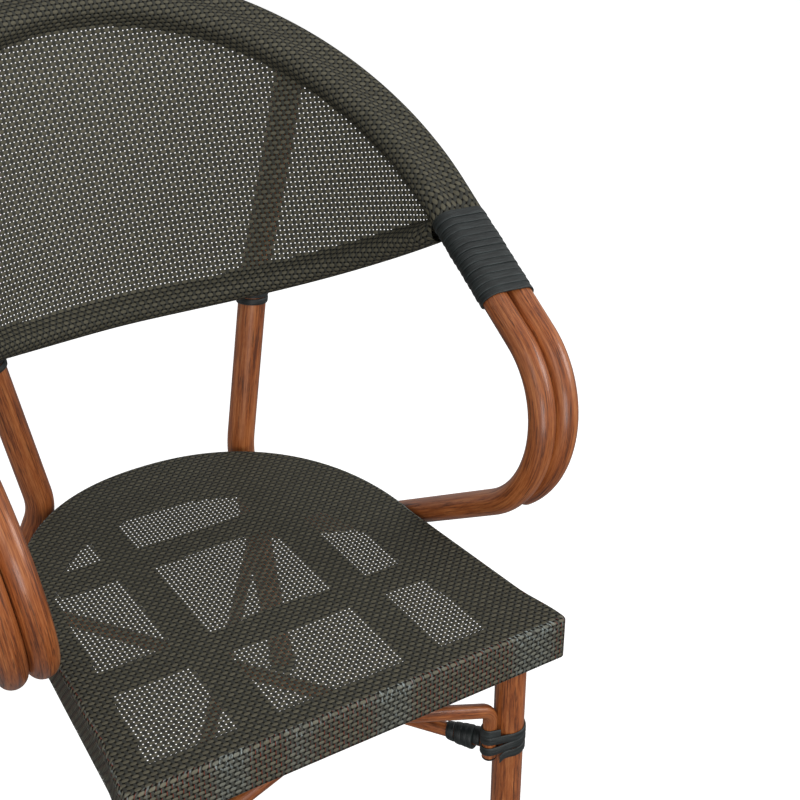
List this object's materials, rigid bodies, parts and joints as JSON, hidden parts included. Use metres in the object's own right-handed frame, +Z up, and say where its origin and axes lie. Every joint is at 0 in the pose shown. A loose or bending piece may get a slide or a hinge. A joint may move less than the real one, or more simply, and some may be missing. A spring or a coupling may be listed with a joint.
{
  "type": "bistro armchair",
  "caption": "Bistro armchair with a painted tube frame, a tight woven mesh seat and curved back, looped arms and dark strip bindings.",
  "frame": {"origin": "middle of the chair's width and depth, on the floor under the glides", "axes": "+Z up, -Y towards the front edge of the seat, +X to the right as seen from the front"},
  "size_m": [0.554, 0.592, 0.9168],
  "materials": {
    "tube": "satin reddish-brown wood grain paint",
    "frame": "satin dark paint",
    "mesh": "matt woven plastic yarn, taupe over black, with open holes",
    "strip": "satin black plastic strip",
    "plastic": "matt black plastic"
  },
  "bodies": {
    "root": {"hoop_inner": "tube", "hoop_outer": "tube", "back_lower_rail": "tube", "front_leg_right": "tube", "front_leg_left": "tube", "rear_leg_right": "tube", "rear_leg_left": "tube", "front_arch": "tube", "cross_brace_right": "tube", "cross_brace_left": "tube", "seat_front_rail": "frame", "seat_bow_rail": "frame", "seat_long_bar_right": "frame", "seat_long_bar_left": "frame", "seat_cross_bar_front": "frame", "seat_cross_bar_rear": "frame", "seat_mesh": "mesh", "back_mesh": "mesh", "arm_binding_right": "strip", "arm_binding_left": "strip", "leg_binding_right": "strip", "leg_binding_left": "strip", "brace_wrap_right": "strip", "brace_wrap_left": "strip", "upright_binding_right": "strip", "upright_binding_left": "strip", "arm_end_cap_right": "plastic", "arm_end_cap_left": "plastic", "front_glide_right": "plastic", "front_glide_left": "plastic", "rear_glide_right": "plastic", "rear_glide_left": "plastic", "arch_plug_right": "plastic", "arch_plug_left": "plastic"}
  },
  "joints": []
}
